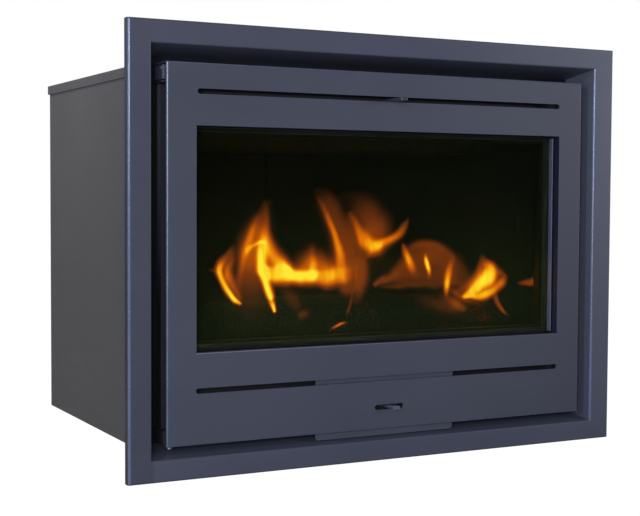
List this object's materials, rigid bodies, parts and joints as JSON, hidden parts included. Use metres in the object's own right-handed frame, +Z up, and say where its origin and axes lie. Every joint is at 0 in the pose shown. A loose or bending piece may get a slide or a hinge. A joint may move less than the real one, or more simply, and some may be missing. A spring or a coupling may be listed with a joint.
{
  "type": "built-in fireplace insert",
  "caption": "Built-in steel fireplace insert: folded trim frame with splayed recess, left-hung glazed door with air slides, brick-lined firebox, casing and flue collar.",
  "frame": {"origin": "middle of the casing's flat underside", "axes": "+Z up, +X to the right seen from the front, +Y back into the wall; the glazed front faces -Y"},
  "size_m": [0.76, 0.499, 0.591],
  "materials": {
    "satin_steel": "satin heat-resistant paint, blue-grey",
    "casing_steel": "satin grey paint",
    "dark_steel": "matt black paint",
    "bare_steel": "bare steel",
    "trim_steel": "satin paint, worn along the edges",
    "cast_iron": "rough cast, sooty",
    "ceramic_glass": "clear ceramic pane, smoked by use",
    "rope_seal": "braided glass-fibre rope",
    "fire_brick": "sooty refractory tile",
    "fire_board": "vermiculite board",
    "log_bark": "charred firewood with embers",
    "flame": "glowing wood flame"
  },
  "bodies": {
    "root": {"ash_box": "dark_steel", "back_brick_left": "fire_brick", "back_brick_right": "fire_brick", "baffle_plate": "fire_board", "casing_back": "casing_steel", "casing_base": "casing_steel", "casing_lid": "casing_steel", "casing_rail_left": "dark_steel", "casing_rail_right": "dark_steel", "casing_side_left": "casing_steel", "casing_side_right": "casing_steel", "catch_bracket": "dark_steel", "firebox_back": "dark_steel", "firebox_floor": "dark_steel", "firebox_side_left": "dark_steel", "firebox_side_right": "dark_steel", "firebox_top": "dark_steel", "flue_collar": "dark_steel", "frame_bolt_high_left": "bare_steel", "frame_bolt_high_right": "bare_steel", "frame_bolt_low_left": "bare_steel", "frame_bolt_low_right": "bare_steel", "hearth_brick_back": "fire_brick", "hearth_brick_front": "fire_brick", "hearth_brick_left": "fire_brick", "hearth_brick_right": "fire_brick", "hinge_bracket_top": "dark_steel", "hinge_pin_bottom": "bare_steel", "hinge_pin_top": "bare_steel", "seat_plate": "satin_steel", "side_brick_left": "fire_brick", "side_brick_right": "fire_brick", "surround_frame": "satin_steel"},
    "door": {"air_cover_plate": "satin_steel", "airwash_guide": "dark_steel", "catch_tongue": "bare_steel", "door_facade": "satin_steel", "door_glass": "ceramic_glass", "door_inner_frame": "trim_steel", "door_seal": "rope_seal", "facade_spacer_high_left": "dark_steel", "facade_spacer_high_right": "dark_steel", "facade_spacer_low_left": "dark_steel", "facade_spacer_low_right": "dark_steel", "glass_seal": "rope_seal", "glass_trim": "trim_steel", "hinge_block_bottom": "trim_steel", "hinge_block_top": "trim_steel", "primary_guide": "dark_steel"},
    "airwash": {"airwash_slide": "bare_steel", "airwash_lever": "trim_steel"},
    "primary_air": {"primary_slide": "bare_steel", "primary_lever": "trim_steel"},
    "catch": {"catch_roller": "bare_steel"},
    "grate": {"fire_grate": "cast_iron", "log_front": "log_bark", "log_upper": "log_bark", "flames": "flame"},
    "ash_pan": {"ash_pan": "bare_steel"},
    "log_guard": {"log_guard": "cast_iron"}
  },
  "joints": [
    {"name": "door_hinge", "type": "hinge", "parent": "root", "child": "door", "pos_m": [-0.316, -0.216, 0.25], "axis": [0, 0, -1], "range_deg": [0, 100]},
    {"name": "airwash_slide_x", "type": "slide", "parent": "door", "child": "airwash", "axis": [1, 0, 0], "range_m": [-0.03, 0.03]},
    {"name": "primary_slide_x", "type": "slide", "parent": "door", "child": "primary_air", "axis": [1, 0, 0], "range_m": [-0.02, 0.012]},
    {"name": "catch_roller_spring", "type": "slide", "parent": "root", "child": "catch", "axis": [1, 0, 0], "range_m": [0, 0.004], "stiffness_N_per_m": 2000},
    {"name": "grate_lift", "type": "slide", "parent": "root", "child": "grate", "axis": [0, 0, 1], "range_m": [0, 0.06]},
    {"name": "ash_pan_lift", "type": "slide", "parent": "root", "child": "ash_pan", "axis": [0, 0, 1], "range_m": [0, 0.015]},
    {"name": "log_guard_lift", "type": "slide", "parent": "root", "child": "log_guard", "axis": [0, 0, 1], "range_m": [0, 0.06]}
  ]
}
